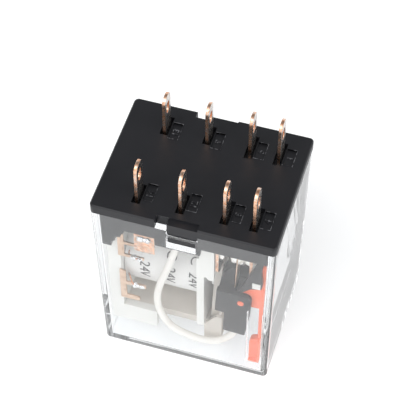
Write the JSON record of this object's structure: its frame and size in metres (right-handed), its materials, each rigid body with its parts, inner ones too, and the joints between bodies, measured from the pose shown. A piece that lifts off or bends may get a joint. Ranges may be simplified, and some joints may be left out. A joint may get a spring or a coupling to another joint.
{
  "type": "plug-in relay",
  "caption": "Plug-in control relay: clear cover on a black base with flat blade terminals, taped coil, yoke and hinged armature, changeover contacts and an orange position indicator.",
  "frame": {"origin": "bottom centre of the clear cover's face, on which the relay stands with its blades up", "axes": "+Z along the blades, +X from the coil end to the contact end, -Y towards the side with the indicator lever"},
  "size_m": [0.028, 0.0216, 0.0426],
  "materials": {
    "black_moulding": "fine moulded satin",
    "clear_cover": "clear polished polycarbonate",
    "tinned_copper": "tinned flat faces with sheared copper edges",
    "bare_copper": "rolled bare copper alloy",
    "contact_silver": "turned silver alloy",
    "white_moulding": "natural white moulding",
    "enamelled_wire": "enamelled copper wire",
    "white_tape": "white polyester tape",
    "soft_iron": "nickel-plated soft iron",
    "spring_steel": "bright spring steel",
    "solder": "bright solder",
    "white_sleeve": "smooth white sleeve",
    "orange_moulding": "orange translucent moulding"
  },
  "bodies": {
    "root": {"base": "black_moulding", "cover": "clear_cover", "coil_terminal_14": "tinned_copper", "coil_terminal_13": "tinned_copper", "common_terminal_12": "tinned_copper", "common_terminal_9": "tinned_copper", "open_terminal_8": "tinned_copper", "open_terminal_5": "tinned_copper", "closed_terminal_4": "tinned_copper", "closed_terminal_1": "tinned_copper", "open_contact_rivets": "contact_silver", "closed_contact_rivets": "contact_silver", "bobbin": "white_moulding", "coil_winding": "enamelled_wire", "coil_tape": "white_tape", "core": "soft_iron", "coil_tag_upper": "bare_copper", "coil_tag_lower": "bare_copper", "magnet_wire_ends": "enamelled_wire", "coil_solder_joints": "solder", "yoke": "soft_iron", "hinge_bracket": "soft_iron", "return_spring": "spring_steel", "return_spring_rivets": "spring_steel", "terminal_solder_joints": "solder", "lead_front": "white_sleeve", "lead_back": "white_sleeve", "indicator_pivot": "white_moulding"},
    "armature": {"armature": "soft_iron", "armature_rivets": "spring_steel", "contact_carrier": "black_moulding", "moving_spring_front": "bare_copper", "moving_spring_back": "bare_copper", "moving_contact_rivets": "contact_silver", "spring_solder_joints": "solder"},
    "indicator": {"indicator_lever": "orange_moulding"}
  },
  "joints": [
    {"name": "armature_hinge", "type": "hinge", "parent": "root", "child": "armature", "pos_m": [0.00333, 0, 0.00705], "axis": [0, 1, 0], "range_deg": [-2.31, 0], "stiffness_Nm_per_rad": 0.05, "springref_deg": 2.29, "deforming": ["return_spring", "lead_front", "lead_back"]},
    {"name": "indicator_hinge", "type": "hinge", "parent": "root", "child": "indicator", "pos_m": [0.011, -0.0077, 0.0235], "axis": [0, 1, 0], "range_deg": [0, 4.75]}
  ],
  "couplings": [
    {"joint": "indicator_hinge", "follows": "armature_hinge", "ratio": -2.0463}
  ]
}
